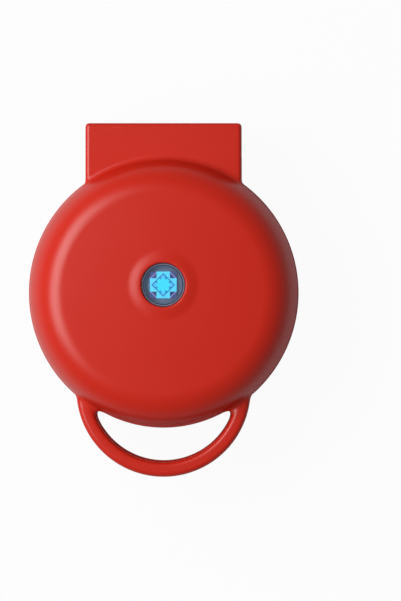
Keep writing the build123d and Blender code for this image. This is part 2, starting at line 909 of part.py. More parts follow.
def hinge_pin(side):
    ends = sorted((side * pin_inner_end, side * (ear_outer - pin_recess)))
    return across(pin_radius, ends, hinge_y, hinge_z)


feet = dict(zip(
    ("foot_front_left", "foot_front_right", "foot_rear_left", "foot_rear_right"), foot_points()))

pieces = {
    "base_shell": base_shell(),
    "base_frame": in_base(plate_frame(base_tab)),
    "lower_plate": in_base(waffle_plate()),
    "lower_heater": in_base(heater()),
    "lower_heat_shield": in_base(heat_shield()),
    "thermostat": in_base(thermostat()),
    "thermostat_screws": in_base(small_screws(clip_depth + clip_sheet, clip_boss_height, clip_points())),
    "base_frame_screws": in_base(frame_screws()),
    "lower_shield_screws": in_base(shield_screws()),
    "terminal_block": terminal_block(),
    "terminal_screws": terminal_screws(),
    "base_leads": base_leads(),
    "hinge_lead_base": hinge_lead_base(),
    "cord_gland": cord_gland(),
    "hinge_pin_left": hinge_pin(-1),
    "hinge_pin_right": hinge_pin(1),
    "lid_shell": in_lid(lid_shell()),
    "lid_frame": in_lid(plate_frame(lid_tab)),
    "upper_plate": in_lid(waffle_plate()),
    "upper_heater": in_lid(heater()),
    "upper_heat_shield": in_lid(heat_shield()),
    "thermal_fuse": in_lid(thermal_fuse()),
    "fuse_clip": in_lid(clip_strip(clip_sheet)),
    "fuse_clip_screws": in_lid(small_screws(clip_depth + clip_sheet, clip_boss_height, clip_points())),
    "lid_frame_screws": in_lid(frame_screws()),
    "upper_shield_screws": in_lid(shield_screws()),
    "indicator_window": in_lid(indicator_window()),
    "indicator_bezel": in_lid(indicator_bezel()),
    "indicator_jewel": in_lid(indicator_jewel()),
    "led_board": in_lid(led_board()),
    "status_led": in_lid(status_led()),
    "board_screws": in_lid(board_screws()),
    "indicator_leads": in_lid(indicator_leads()),
    "hinge_lead_lid": in_lid(hinge_lead_lid()),
}
for name, (x, y) in feet.items():
    pieces[name] = foot(x, y)

os.makedirs("parts", exist_ok=True)
for name, shape in pieces.items():
    export_step(Pos(0, origin_shift, 0) * shape, f"parts/{name}.step")
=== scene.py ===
"""Looks of a mini waffle maker: moulded housing, cast plates, lit indicator, screws and stage."""

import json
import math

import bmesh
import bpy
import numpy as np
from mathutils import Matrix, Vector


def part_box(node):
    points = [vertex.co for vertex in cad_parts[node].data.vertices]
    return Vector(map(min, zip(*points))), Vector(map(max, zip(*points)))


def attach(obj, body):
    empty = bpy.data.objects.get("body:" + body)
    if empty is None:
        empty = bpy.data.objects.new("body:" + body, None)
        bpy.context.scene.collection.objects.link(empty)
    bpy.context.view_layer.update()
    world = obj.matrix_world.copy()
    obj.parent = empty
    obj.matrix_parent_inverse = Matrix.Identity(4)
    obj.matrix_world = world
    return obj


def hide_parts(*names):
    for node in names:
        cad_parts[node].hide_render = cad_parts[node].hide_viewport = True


bl_info = {
    "name": "Mini Waffle Maker",
    "version": (1, 0, 0),
    "blender": (4, 5, 0),
    "location": "View3D > Sidebar > Waffle Maker",
    "description": "Builds the housing, plates, indicator and small parts of a mini waffle maker",
    "category": "Add Mesh",
}

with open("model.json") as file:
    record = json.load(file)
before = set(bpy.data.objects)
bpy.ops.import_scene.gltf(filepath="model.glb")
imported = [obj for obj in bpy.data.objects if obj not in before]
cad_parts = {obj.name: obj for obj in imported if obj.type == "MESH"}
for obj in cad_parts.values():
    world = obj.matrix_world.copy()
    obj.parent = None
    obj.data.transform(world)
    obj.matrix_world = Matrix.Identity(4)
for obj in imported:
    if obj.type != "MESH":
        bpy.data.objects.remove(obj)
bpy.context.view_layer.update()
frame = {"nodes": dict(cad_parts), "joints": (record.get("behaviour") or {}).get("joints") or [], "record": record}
MM = 0.001

# Places read from the frame. A depth is the distance from the parting plane into either half.
PLATE_LOW, PLATE_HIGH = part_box("upper_plate")
AXIS_X = (PLATE_LOW.x + PLATE_HIGH.x) / 2
AXIS_Y = (PLATE_LOW.y + PLATE_HIGH.y) / 2
PARTING = (PLATE_LOW.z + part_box("lower_plate")[1].z) / 2
MIDDLE = (AXIS_X, AXIS_Y, PARTING)
PLATE_RADIUS = (PLATE_HIGH.x - PLATE_LOW.x) / 2
LID_LOW, LID_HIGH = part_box("lid_shell")
HINGE = Vector(frame["joints"][0]["pos_m"])
HINGE_Y = HINGE.y - AXIS_Y
HINGE_RISE = HINGE.z - PARTING
WINDOW_LOW, WINDOW_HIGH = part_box("indicator_window")
WINDOW_Y = (WINDOW_LOW.y + WINDOW_HIGH.y) / 2 - AXIS_Y
WINDOW_RADIUS = (WINDOW_HIGH.x - WINDOW_LOW.x) / 2
WINDOW_TOP = WINDOW_HIGH.z - PARTING
WINDOW_BOTTOM = WINDOW_LOW.z - PARTING
BODY_RADIUS = (LID_HIGH.x - LID_LOW.x) / 2
BLOCK_REACH = LID_HIGH.y - AXIS_Y
HANDLE_REACH = AXIS_Y - LID_LOW.y
BOSS_TOP = LID_HIGH.z - PARTING
BASE_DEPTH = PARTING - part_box("base_shell")[0].z
GLAND_LOW, GLAND_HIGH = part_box("cord_gland")
GLAND_RADIUS = (GLAND_HIGH.x - GLAND_LOW.x) / 2
GLAND_DEPTH = PARTING - (GLAND_LOW.z + GLAND_HIGH.z) / 2

# Fixed values that several pieces share
BARREL, BORE = 5.6 * MM, 2.56 * MM
SHARP = math.radians(32)
AXIS_ORDER = {"X": (2, 0, 1), "Y": (1, 2, 0), "Z": (0, 1, 2)}


# Sizes and colours that a user may change
def length(value, about):
    """A length with its default in millimetres."""
    return bpy.props.FloatProperty(description=about, default=value * MM, unit="LENGTH", min=0.0)


def tint(value, about):
    """A colour with its default in linear red, green and blue."""
    return bpy.props.FloatVectorProperty(
        description=about, default=value, subtype="COLOR", size=3, min=0.0, max=1.0)


class HousingSizes(bpy.types.PropertyGroup):
    """Forms of the two housing shells"""

    cell: length(0.92, "Size of the mesh cells")
    wall: length(2.5, "Thickness of the moulded wall")
    rim_setback: length(0.8, "Distance of each rim from the parting plane")
    rim_round: length(0.7, "Softness of the rim's edges")
    lid_inset: length(0.55, "How far the lid's outline stands inside the base's")
    block_inset: length(0.25, "How far the lid's block stands inside the base's")
    handle_inset: length(0.30, "How far the lid's handle stands inside the base's")
    shoulder: length(47.0, "Where the crown ends and the shoulder starts")
    lean: length(0.2, "How far the upright side leans in")
    lid_side: length(9.8, "Height of the lid's upright side")
    lid_depth: length(32.0, "Height of the lid's shoulder over the parting plane")
    lid_crown: length(1.0, "Rise of the lid's crown")
    lid_end: length(15.5, "Radius of the arc that meets the crown")
    base_side: length(8.8, "Height of the base's upright side")
    base_end: length(14.5, "Radius of the arc that meets the underside")
    block_half: length(37.6, "Half the width of the hinge block")
    block_depth: length(16.0, "Height of the lid's block over the parting plane")
    block_round: length(1.8, "Edge radius of the hinge block")
    block_blend: length(1.2, "Softness where the block grows from the housing")
    crease: length(2.6, "Softness of the crease between the lid and the block's top")
    handle_blend: length(2.0, "Softness where the handle grows from the housing")
    handle_radius: length(42.0, "Outer radius of the handle loop")
    handle_bar: length(7.5, "Width of the handle's bar at the front")
    handle_top: length(16.0, "Distance of the handle's far face from the parting plane")
    handle_thick: length(10.0, "Height of the handle's bar")
    handle_round: length(2.4, "Edge radius of the handle's bar")
    gap_radius: length(34.9, "Radius of the finger gap's front edge")
    gap_back: length(60.0, "Radius of the finger gap's rear edge")
    gap_bite: length(0.4, "How far the finger gap cuts into the side")
    gap_corner: length(5.5, "Softness of the finger gap's corners")
    boss_top: length(11.2, "Radius where the indicator's rise starts to fall")
    boss_foot: length(17.4, "Radius where the indicator's rise ends")
    boss_rise: length(0.8, "Height of the indicator's rise over the crown")
    notch_floor: length(8.96, "Depth of the hinge notch in the base")
    notch_front: length(7.0, "Distance from the hinge axis to the notch's front wall")


class PlateSizes(bpy.types.PropertyGroup):
    """Forms of the cast plates, their frames and screws"""

    cell: length(0.85, "Size of the mesh cells")
    face: length(0.1, "Distance of the plate's rim from the parting plane")
    cavity: length(48.0, "Radius of the waffle cavity at its rim")
    floor: length(9.0, "Distance of the cavity's floor from the parting plane")
    cavity_lean: length(2.0, "How far the cavity's side leans in")
    wall: length(1.9, "Thickness of the cast wall")
    flange: length(2.2, "Thickness of the plate's flange")
    pitch: length(15.6, "Distance between the teeth")
    tooth_root: length(10.8, "Width of a tooth at the floor")
    tooth_tip: length(7.6, "Width of a tooth at its tip")
    tooth_height: length(6.5, "Height of a tooth")
    tooth_reach: length(43.3, "Radius where the teeth are cut off")
    cast_round: length(1.5, "Softness of the cast edges")
    moulded_round: length(0.35, "Edge radius of the black frames")
    screw_ring: length(57.2, "Radius of the frame screws' circle")
    screw_head: length(2.4, "Radius of the frame screws' heads")
    screw_height: length(1.4, "Height of the frame screws' heads")
    screw_shank: length(1.25, "Radius of the frame screws' shanks")
    screw_length: length(11.0, "Length of the frame screws' shanks")
    recess: length(1.45, "Reach of the cross recess's arms")


class FinishColours(bpy.types.PropertyGroup):
    """Colours of the visible surfaces"""

    shell: tint((0.572, 0.016, 0.0045), "Moulded red housing")
    coating: tint((0.030, 0.028, 0.027), "Non-stick coating of the plates")
    trim: tint((0.016, 0.016, 0.017), "Black heat-resistant frames")
    rubber: tint((0.02, 0.02, 0.02), "Feet")
    # The jewel's glow is painted light, standing in for the LED that shines through it.
    glow: tint((0.035, 0.72, 1.0), "Lit jewel")
    bezel: tint((0.13, 0.16, 0.235), "Cup around the jewel")


# Distances to the forms, in arrays. They are negative inside.
def soft_min(a, b, k):
    """The smaller of two distances, joined softly where they differ by less than k."""
    gap = np.maximum(k - np.abs(a - b), 0) / k
    return np.minimum(a, b) - gap * gap * k / 4


def soft_max(a, b, k):
    return -soft_min(-a, -b, k)


def bounded(sides, radius):
    """A body inside several flat or round sides, with its outer edges rounded."""
    grown = np.array([side + radius for side in np.broadcast_arrays(*sides)])
    outside = np.sqrt((np.maximum(grown, 0) ** 2).sum(axis=0))
    return outside + np.minimum(grown.max(axis=0), 0) - radius


def dome(r, h, side, depth, crown, end, sizes, inset=0.0):
    """One half's round form: upright side, two shoulder arcs and a crowned end."""
    reach = BODY_RADIUS - inset
    upper = reach - sizes.lean
    width, height = upper - sizes.shoulder, depth - side
    side_arc = (width**2 + height**2 - 2 * height * end) / (2 * (width - end))
    turn = math.atan2(height - end, side_arc - width)
    line = r - reach + sizes.lean * (h - sizes.rim_setback) / (side - sizes.rim_setback)
    result = np.where(h > side, np.hypot(r - upper + side_arc, h - side) - side_arc, line)
    out, rise = r - sizes.shoulder, h - depth + end
    on_end = (out > 0) & (rise * math.cos(turn) > out * math.sin(turn))
    result = np.where(on_end, np.hypot(out, rise) - end, result)
    if crown == 0:
        return np.where(out <= 0, h - depth, result)
    drop = end + crown
    crown_radius = (sizes.shoulder**2 + drop**2 - end**2) / (2 * crown)
    centre = depth + crown - crown_radius
    on_crown = r * (depth - end - centre) < sizes.shoulder * (h - centre)
    return np.where(on_crown, np.hypot(r, h - centre) - crown_radius, result)


def gentle(share):
    """A share kept between nought and one, with a soft start and end."""
    share = np.clip(share, 0, 1)
    return share**2 * (3 - 2 * share)


def lid_form(x, y, h, sizes, inset=0.0):
    """The lid's round form with the gentle rise round its indicator."""
    share = gentle((sizes.boss_foot - np.hypot(x, y - WINDOW_Y)) / (sizes.boss_foot - sizes.boss_top))
    rise = sizes.boss_rise * share * (h > sizes.lid_side)
    return dome(
        np.hypot(x, y), h - rise, sizes.lid_side, sizes.lid_depth, sizes.lid_crown, sizes.lid_end, sizes,
        inset)


def shell_distance(x, y, h, sizes, lid):
    """The moulded shell of one half, open at the parting plane."""
    wall, inner_round, inner_blend = sizes.wall, 0.5 * MM, 1.5 * MM
    if lid:
        block_depth, block_inset, handle_inset = sizes.block_depth, sizes.block_inset, sizes.handle_inset
        round_form, inner_form = lid_form(x, y, h, sizes, sizes.lid_inset), lid_form(x, y, h, sizes)
        crease_low, crease_rise = 3 * MM, 2.5 * MM
        share = gentle((h - block_depth + crease_low) / crease_rise)
        blend = sizes.block_blend + (sizes.crease - sizes.block_blend) * share
    else:
        block_depth, block_inset, handle_inset, blend = BASE_DEPTH, 0.0, 0.0, sizes.block_blend
        round_form = dome(np.hypot(x, y), h, sizes.base_side, BASE_DEPTH, 0.0, sizes.base_end, sizes)
        inner_form = round_form

    def block_form(inside, down, radius):
        return bounded(
            [np.abs(x) - sizes.block_half + inside, y - BLOCK_REACH + inside, h - block_depth + down, -y],
            radius)

    loop_y = sizes.handle_radius - HANDLE_REACH
    loop = bounded(
        [np.hypot(x, y - loop_y) - sizes.handle_radius + handle_inset,
         np.abs(h - sizes.handle_top + sizes.handle_thick / 2) - sizes.handle_thick / 2],
        sizes.handle_round)
    body = soft_min(round_form, block_form(block_inset, 0.0, sizes.block_round), blend)
    body = soft_min(body, loop, sizes.handle_blend)
    gap_y = sizes.handle_bar + sizes.gap_radius - HANDLE_REACH
    back_y = sizes.gap_bite + sizes.gap_back - BODY_RADIUS
    gap = soft_max(
        np.hypot(x, y - gap_y) - sizes.gap_radius - handle_inset,
        sizes.gap_back - np.hypot(x, y - back_y), sizes.gap_corner)
    body = soft_max(body, -gap, sizes.handle_round)
    inner_block = block_form(wall, wall, inner_round)
    notch_y = HINGE_Y - sizes.notch_front
    if not lid:
        body = np.maximum(body, h - BASE_DEPTH)
        under = np.maximum(notch_y - wall - y, h - sizes.notch_floor - wall)
        inner_block = np.maximum(inner_block, -under)
    shell = np.maximum(body, -soft_min(inner_form + wall, inner_block, inner_blend))
    shell = soft_max(shell, sizes.rim_setback - h, sizes.rim_round)
    if lid:
        seat_hole = WINDOW_RADIUS + 1.2 * MM
        return np.maximum(shell, seat_hole - np.hypot(x, y - WINDOW_Y))
    notch = np.maximum(notch_y - y, h - sizes.notch_floor)
    shell = soft_max(shell, -notch, sizes.rim_round)
    gland = np.hypot(x, h - GLAND_DEPTH) - GLAND_RADIUS
    return np.maximum(shell, -np.maximum(gland, BLOCK_REACH - 2 * wall - y))


def plate_distance(x, y, h, sizes):
    """A cast plate's dish, flange and drafted square teeth."""
    r = np.hypot(x, y)
    soft = sizes.cast_round
    flange_edge, top_edge, cavity_edge, tooth_edge = 0.4 * MM, 1.3 * MM, soft * 0.6, 1.2 * MM
    flare, spare = 0.8 * MM, 2 * MM
    side = r - sizes.cavity + sizes.cavity_lean * (h - sizes.face) / (sizes.floor - sizes.face)
    cavity = soft_max(side, h - sizes.floor, 2 * soft)
    dish = soft_max(side - sizes.wall, h - sizes.floor - sizes.wall, soft)
    seat = bounded([r - PLATE_RADIUS, h - sizes.face - sizes.flange], flange_edge)
    plate = soft_max(soft_min(dish, seat, soft), sizes.face - h, top_edge)
    plate = soft_max(plate, -cavity, cavity_edge)
    tip = sizes.floor - sizes.tooth_height
    share = (h - tip) / sizes.tooth_height
    half = sizes.tooth_tip / 2 + (sizes.tooth_root - sizes.tooth_tip) / 2 * share
    places = [np.round(value / sizes.pitch) * sizes.pitch for value in (x, y)]
    sides = [np.abs(value - place) - half for value, place in zip((x, y), places)]
    tooth = soft_max(bounded(sides, tooth_edge), tip - h, soft)
    tooth = soft_max(tooth, r - sizes.tooth_reach - flare * share, soft)
    nearest = np.hypot(*(np.abs(place) - sizes.tooth_tip / 2 for place in places))
    tooth = np.where(nearest < sizes.tooth_reach - spare, tooth, 1.0)
    tooth = np.maximum(tooth, h - sizes.floor - sizes.wall / 2)
    return soft_min(plate, tooth, soft)


# Meshes
def slope(distance, points, step=2e-5):
    """Unit direction in which a distance grows, at each point."""
    result = np.empty_like(points)
    for axis in range(3):
        shift = np.zeros(3)
        shift[axis] = step
        result[:, axis] = distance(*(points + shift).T) - distance(*(points - shift).T)
    size = np.linalg.norm(result, axis=1, keepdims=True)
    return result / np.maximum(size, 1e-12)


def contour(distance, low, high, cell):
    """A closed mesh where a distance is zero: one corner for each cell that the surface crosses."""
    pull, longest = 0.05, cell / 3
    axes = [np.arange(a, b + cell, cell) for a, b in zip(low, high)]
    field = distance(*np.meshgrid(*axes, indexing="ij"))
    cells = [len(values) - 1 for values in axes]
    inside = field < 0
    points, quads = [], []
    for axis in range(3):
        first, second = [slice(None)] * 3, [slice(None)] * 3
        first[axis], second[axis] = slice(None, -1), slice(1, None)
        first, second = tuple(first), tuple(second)
        where = np.argwhere(inside[first] != inside[second])
        start, end = field[first][tuple(where.T)], field[second][tuple(where.T)]
        point = np.stack([axes[k][where[:, k]] for k in range(3)], axis=1)
        point[:, axis] += cell * start / (start - end)
        point[:, axis] -= cell * distance(*point.T) / (end - start)
        others = [k for k in range(3) if k != axis]
        around = []
        for shift in ((0, 0), (-1, 0), (-1, -1), (0, -1)):
            near = where.copy()
            near[:, others] += shift
            around.append(np.ravel_multi_index(near.T, cells))
        quad = np.stack(around, axis=1)
        flip = (start > 0) != (axis == 1)
        quad[flip] = quad[flip][:, ::-1]
        points.append(point)
        quads.append(quad)
    points, quads = np.concatenate(points), np.concatenate(quads)
    used, owner = np.unique(quads, return_inverse=True)
    owner = owner.reshape(quads.shape)
    normals = slope(distance, points)

    def gather(values):
        return np.bincount(owner.ravel(), weights=np.repeat(values, 4), minlength=len(used))

    count = gather(np.ones(len(points)))
    middle = np.stack([gather(points[:, k]) for k in range(3)], axis=1) / count[:, None]
    square, right = np.empty((len(used), 3, 3)), np.empty((len(used), 3))
    flat = (normals * points).sum(axis=1)
    for i in range(3):
        right[:, i] = gather(normals[:, i] * flat)
        for j in range(3):
            square[:, i, j] = gather(normals[:, i] * normals[:, j])
    right -= np.einsum("nij,nj->ni", square, middle)
    square += pull * count[:, None, None] * np.eye(3)
    corners = middle + np.linalg.solve(square, right[:, :, None])[:, :, 0]
    index = np.stack(np.unravel_index(used, cells), axis=1)
    floor = np.stack([axes[k][index[:, k]] for k in range(3)], axis=1)
    corners = np.clip(corners, floor, floor + cell)
    for _ in range(2):
        normal = slope(distance, corners)
        step = np.clip(distance(*corners.T), -longest, longest)
        corners = corners - normal * step[:, None]
    return corners, owner, slope(distance, corners)


def half_mesh(distance, low, high, cell, lid):
    """A contour of one half, moved from its depths to its real place."""
    margin = 2 * MM
    corners, faces, normals = contour(distance, np.array(low) - margin, np.array(high) + margin, cell)
    if not lid:
        faces = faces[:, ::-1]
        corners[:, 2] *= -1
        normals[:, 2] *= -1
    return corners + MIDDLE, faces.tolist(), normals


def cover_mesh(sizes, lid):
    """The moulded shell of one half."""
    return half_mesh(
        lambda x, y, h: shell_distance(x, y, h, sizes, lid), (-BODY_RADIUS, -HANDLE_REACH, 0),
        (BODY_RADIUS, BLOCK_REACH, BOSS_TOP if lid else BASE_DEPTH), sizes.cell, lid)


def eased(corners, radius, steps=4):
    """A closed outline with its corners off the axis rounded, by less than half of either side."""
    result = []
    for k, corner in enumerate(corners):
        here = Vector(corner)
        sides = [Vector(corners[n % len(corners)]) - here for n in (k - 1, k + 1)]
        if corner[0] == 0 or min(side.length for side in sides) == 0:
            result.append(tuple(here))
            continue
        start, end = (here + side.normalized() * min(radius, side.length * 0.45) for side in sides)
        for step in range(steps + 1):
            t = step / steps
            result.append(tuple(start * (1 - t) ** 2 + here * 2 * t * (1 - t) + end * t**2))
    return result


def turned(profile, place=(0, 0, 0), along="Z", sides=72):
    """A solid of revolution from a closed outline of radius and height, counter-clockwise."""
    corners, rows, faces = [], [], []
    angles = [2 * math.pi * k / sides for k in range(sides)]
    for radius, height in profile:
        if radius == 0:
            rows.append([len(corners)] * sides)
            corners.append((0, 0, height))
            continue
        rows.append(range(len(corners), len(corners) + sides))
        corners += [(radius * math.cos(angle), radius * math.sin(angle), height) for angle in angles]
    for low, high in zip(rows, rows[1:] + rows[:1]):
        for k in range(sides):
            n = (k + 1) % sides
            face = list(dict.fromkeys((low[k], low[n], high[n], high[k])))
            if len(face) > 2:
                faces.append(face)
    return np.array(corners)[:, AXIS_ORDER[along]] + place, faces, None


def extruded(outline, low, high, along="Z", place=(0, 0, 0)):
    """A straight solid on a counter-clockwise outline, between two places on its axis."""
    count = len(outline)
    corners = [(a, b, level) for level in (low, high) for a, b in outline]
    faces = [list(range(count))[::-1], list(range(count, 2 * count))]
    for k in range(count):
        n = (k + 1) % count
        faces.append([k, n, n + count, k + count])
    return np.array(corners)[:, AXIS_ORDER[along]] + place, faces, None


def rectangle(left, right, low, high):
    """A counter-clockwise outline."""
    return [(left, low), (right, low), (right, high), (left, high)]


def arc(centre, radius, start, end, steps):
    """Points on an arc between two angles in degrees."""
    angles = np.radians(np.linspace(start, end, steps + 1))
    return [(centre[0] + radius * math.cos(a), centre[1] + radius * math.sin(a)) for a in angles]


def solid(name, parts, material):
    """One mesh from several closed parts, smooth except at its sharp edges."""
    corners, faces, normals = [], [], []
    for part_corners, part_faces, part_normals in parts:
        start = len(corners)
        corners.extend(map(tuple, part_corners))
        faces.extend([start + k for k in face] for face in part_faces)
        given = part_normals if part_normals is not None else np.zeros((len(part_corners), 3))
        normals.extend(map(tuple, given))
    mesh = bpy.data.meshes.new(name)
    mesh.from_pydata(corners, [], faces)
    mesh.validate()
    mesh.materials.append(material)
    mesh.shade_smooth()
    mesh.set_sharp_from_angle(angle=SHARP)
    if any(part[2] is not None for part in parts):
        mesh.normals_split_custom_set_from_vertices(normals)
    return mesh


def linked(name, data):
    """A new object in the scene."""
    obj = bpy.data.objects.new(name, data)
    bpy.context.scene.collection.objects.link(obj)
    return obj


def placed(name, mesh, body, slot, *nodes):
    """A finished piece that rides a body and stands for the given nodes."""
    obj = linked(name, mesh)
    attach(obj, body)
    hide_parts(*nodes)


def placed_solid(name, parts, body, slot, *nodes):
    """A piece made of closed parts, in its slot's material."""
    placed(name, solid(name, parts, finishes()[slot]), body, slot, *nodes)


def evaluated_mesh(name, obj, *helpers):
    """The object's mesh with its modifiers in it. The object and its helpers are then removed."""
    graph = bpy.context.evaluated_depsgraph_get()
    mesh = bpy.data.meshes.new_from_object(obj.evaluated_get(graph))
    mesh.name = name
    for used in (obj, *helpers):
        bpy.data.objects.remove(used)
    return mesh


# Materials
def set_inputs(node, values):
    """Constant values for a node's inputs, by name."""
    for label, value in values.items():
        node.inputs[label].default_value = value


def add_sockets(tree, side, rows):
    """Inputs or outputs of a group. A row has a name, a kind and, where it needs one, a default."""
    for label, kind, *default in rows:
        socket = tree.interface.new_socket(label, in_out=side, socket_type="NodeSocket" + kind)
        if default:
            socket.default_value = default[0]


def added(tree, *kinds):
    """New nodes of the given kinds."""
    return [tree.nodes.new(kind) for kind in kinds]


def join(tree, *rows):
    """Links between nodes. A row has a node, its output, the next node and its input."""
    for start, output, end, entry in rows:
        tree.links.new(start.outputs[output], end.inputs[entry])


def math_node(tree, operation, first, second):
    """The result of an operation on two values or outputs."""
    node = tree.nodes.new("ShaderNodeMath")
    node.operation = operation
    for socket, value in zip(node.inputs, (first, second)):
        if isinstance(value, (int, float)):
            socket.default_value = value
        else:
            tree.links.new(value, socket)
    return node.outputs[0]


def surface_group():
    """Uneven colour and gloss over the whole piece, and a fine grain."""
    name = "Moulded Surface"
    if name in bpy.data.node_groups:
        return bpy.data.node_groups[name]
    group = bpy.data.node_groups.new(name, "ShaderNodeTree")
    add_sockets(group, "INPUT", (
        ("Colour", "Color"), ("Colour Shift", "Float", 0.04), ("Roughness", "Float", 0.4),
        ("Roughness Shift", "Float", 0.05), ("Patch Scale", "Float", 30.0),
        ("Grain Scale", "Float", 1800.0)))
    add_sockets(group, "OUTPUT", (("Colour", "Color"), ("Roughness", "Float"), ("Height", "Float")))
    given, out, place, patches, grain, shade = added(
        group, "NodeGroupInput", "NodeGroupOutput", "ShaderNodeTexCoord", "ShaderNodeTexNoise",
        "ShaderNodeTexNoise", "ShaderNodeVectorMath")
    shade.operation = "SCALE"
    for noise, scale, detail in ((patches, "Patch Scale", 3.0), (grain, "Grain Scale", 2.0)):
        join(group, (place, "Object", noise, "Vector"), (given, scale, noise, "Scale"))
        set_inputs(noise, {"Detail": detail})
    centred = math_node(group, "SUBTRACT", patches.outputs["Fac"], 0.5)
    bright = math_node(group, "MULTIPLY", centred, given.outputs["Colour Shift"])
    bright = math_node(group, "ADD", bright, 1.0)
    group.links.new(bright, shade.inputs["Scale"])
    join(group, (given, "Colour", shade, 0), (shade, 0, out, "Colour"), (grain, "Fac", out, "Height"))
    fine = math_node(group, "SUBTRACT", grain.outputs["Fac"], 0.5)
    mixed = math_node(group, "ADD", centred, math_node(group, "MULTIPLY", fine, 0.5))
    shift = math_node(group, "MULTIPLY", mixed, given.outputs["Roughness Shift"])
    rough = math_node(group, "ADD", given.outputs["Roughness"], shift)
    group.links.new(rough, out.inputs["Roughness"])
    return group


def surface_node(tree, values):
    """The moulded surface's group in a material, with some of its inputs set."""
    node = tree.nodes.new("ShaderNodeGroup")
    node.node_tree = surface_group()
    set_inputs(node, values)
    return node


def finish(name, colour, roughness, metallic=0.0, colour_shift=0.05, roughness_shift=0.08,
           patch=30.0, grain=1800.0, bump=0.02, depth=0.05 * MM, specular=0.5):
    """A material with the moulded surface's variation and its own gloss."""
    if name in bpy.data.materials:
        return bpy.data.materials[name]
    material = bpy.data.materials.new(name)
    material.use_nodes = True
    material.diffuse_color = (*colour, 1.0)
    tree = material.node_tree
    shader, raised = tree.nodes["Principled BSDF"], tree.nodes.new("ShaderNodeBump")
    set_inputs(shader, {"Metallic": metallic, "Specular IOR Level": specular})
    set_inputs(raised, {"Strength": bump, "Distance": depth})
    surface = surface_node(tree, {
        "Colour": (*colour, 1.0), "Colour Shift": colour_shift, "Roughness": roughness,
        "Roughness Shift": roughness_shift, "Patch Scale": patch, "Grain Scale": grain})
    join(tree, (surface, "Colour", shader, "Base Color"), (surface, "Roughness", shader, "Roughness"),
         (surface, "Height", raised, "Height"), (raised, "Normal", shader, "Normal"))
    return material


def finishes():
    """The material for each slot of the record."""
    colours = bpy.context.scene.waffle_colours
    return {
        "red_plastic": finish(
            "Satin Red", colours.shell, 0.34, colour_shift=0.04, grain=1900.0, bump=0.7,
            depth=0.02 * MM, specular=0.39),
        "black_plastic": finish("Frame Black", colours.trim, 0.46, grain=2200.0, bump=0.3, depth=0.03 * MM),
        "nonstick_plate": finish(
            "Non-stick Coating", colours.coating, 0.36, colour_shift=0.25, roughness_shift=0.2,
            patch=60.0, grain=3200.0, bump=0.45, depth=0.03 * MM, specular=0.6),
        "heater_steel": finish(
            "Heater Steel", (0.30, 0.27, 0.24), 0.42, metallic=1.0, colour_shift=0.4, patch=90.0),
        "shield_sheet": finish("Shield Sheet", (0.62, 0.62, 0.63), 0.34, metallic=1.0, colour_shift=0.1),
        "control_metal": finish("Control Metal", (0.55, 0.54, 0.52), 0.3, metallic=1.0),
        "screw_steel": finish(
            "Zinc Screw", (0.52, 0.52, 0.53), 0.3, metallic=1.0, colour_shift=0.2, patch=400.0),
        "terminal_plastic": finish("Terminal Cream", (0.66, 0.62, 0.5), 0.5),
        "gland_plastic": finish("Bush Black", (0.018, 0.018, 0.018), 0.5, bump=0.3),
        "lead_sleeve": finish("Lead Sleeve", (0.62, 0.6, 0.54), 0.75, grain=900.0, bump=0.5),
        "foot_rubber": finish("Foot Rubber", colours.rubber, 0.75, grain=1500.0, bump=0.5, specular=0.35),
        "bezel_plastic": finish("Bezel Slate", colours.bezel, 0.28, colour_shift=0.15, patch=120.0),
        "board_laminate": finish("Board Green", (0.02, 0.12, 0.05), 0.35, colour_shift=0.2),
        "led_lens": finish("Light Lens", (0.6, 0.8, 1.0), 0.2),
    }


def glow(name, colour, strength):
    """A facet of painted light: an emitted glow, a little uneven in brightness, over a dim tone of its own colour.
    """
    dim = tuple(0.15 * value for value in colour)
    material = finish(name, dim, 0.3, colour_shift=0.1, bump=0.0, specular=0.12)
    tree = material.node_tree
    shader = tree.nodes["Principled BSDF"]
    lit = surface_node(tree, {"Colour": (*colour, 1.0), "Colour Shift": 0.35, "Patch Scale": 500.0})
    # The emission paints the light of the LED beneath, shining through a jewel that is itself no lamp.
    join(tree, (lit, "Colour", shader, "Emission Color"))
    set_inputs(shader, {"Emission Strength": strength})
    return material


# Operators
class WAFFLE_OT_lid_cover(bpy.types.Operator):
    """Build the lid's moulded cover with its hinge block, handle and indicator ring"""

    bl_idname = "waffle.lid_cover"
    bl_label = "Lid Cover"

    def execute(self, context):
        sizes, plates = context.scene.waffle_housing, context.scene.waffle_plates
        parts = [cover_mesh(sizes, True), window_seat(sizes)]
        end, slot, lift = 30.9 * MM, 2.2 * MM, 0.45 * MM
        for low, high in ((-end, -slot), (slot, end)):
            tube = eased(rectangle(BORE, BARREL, low, high), 0.3 * MM, 2)
            parts.append(turned(tube, HINGE, "X", 48))
        outer, inner = (math.degrees(math.asin(lift / radius)) for radius in (BARREL, BORE))
        saddle = arc((0, 0), BARREL, outer, 180 - outer, 24) + arc((0, 0), BORE, 180 - inner, inner, 16)
        parts.append(extruded(saddle, -slot, slot, "X", HINGE))
        ceiling, depth, half = sizes.block_depth - sizes.wall / 2, BARREL * 0.9, 1.25 * MM
        rib = rectangle(HINGE_Y - depth, HINGE_Y + depth, HINGE_RISE, ceiling)
        for x in (-26 * MM, -10 * MM, 10 * MM, 26 * MM):
            parts.append(extruded(rib, x - half, x + half, "X", MIDDLE))
        parts += screw_posts(plates.screw_ring, low=4.5 * MM, high=21.5 * MM)
        for x in (-12 * MM, 12 * MM):
            parts.append(post(x, WINDOW_Y, radius=2.4 * MM, low=26.2 * MM, high=31.5 * MM))
        placed_solid("lid_cover", parts, "lid", "red_plastic", "lid_shell")
        return {"FINISHED"}


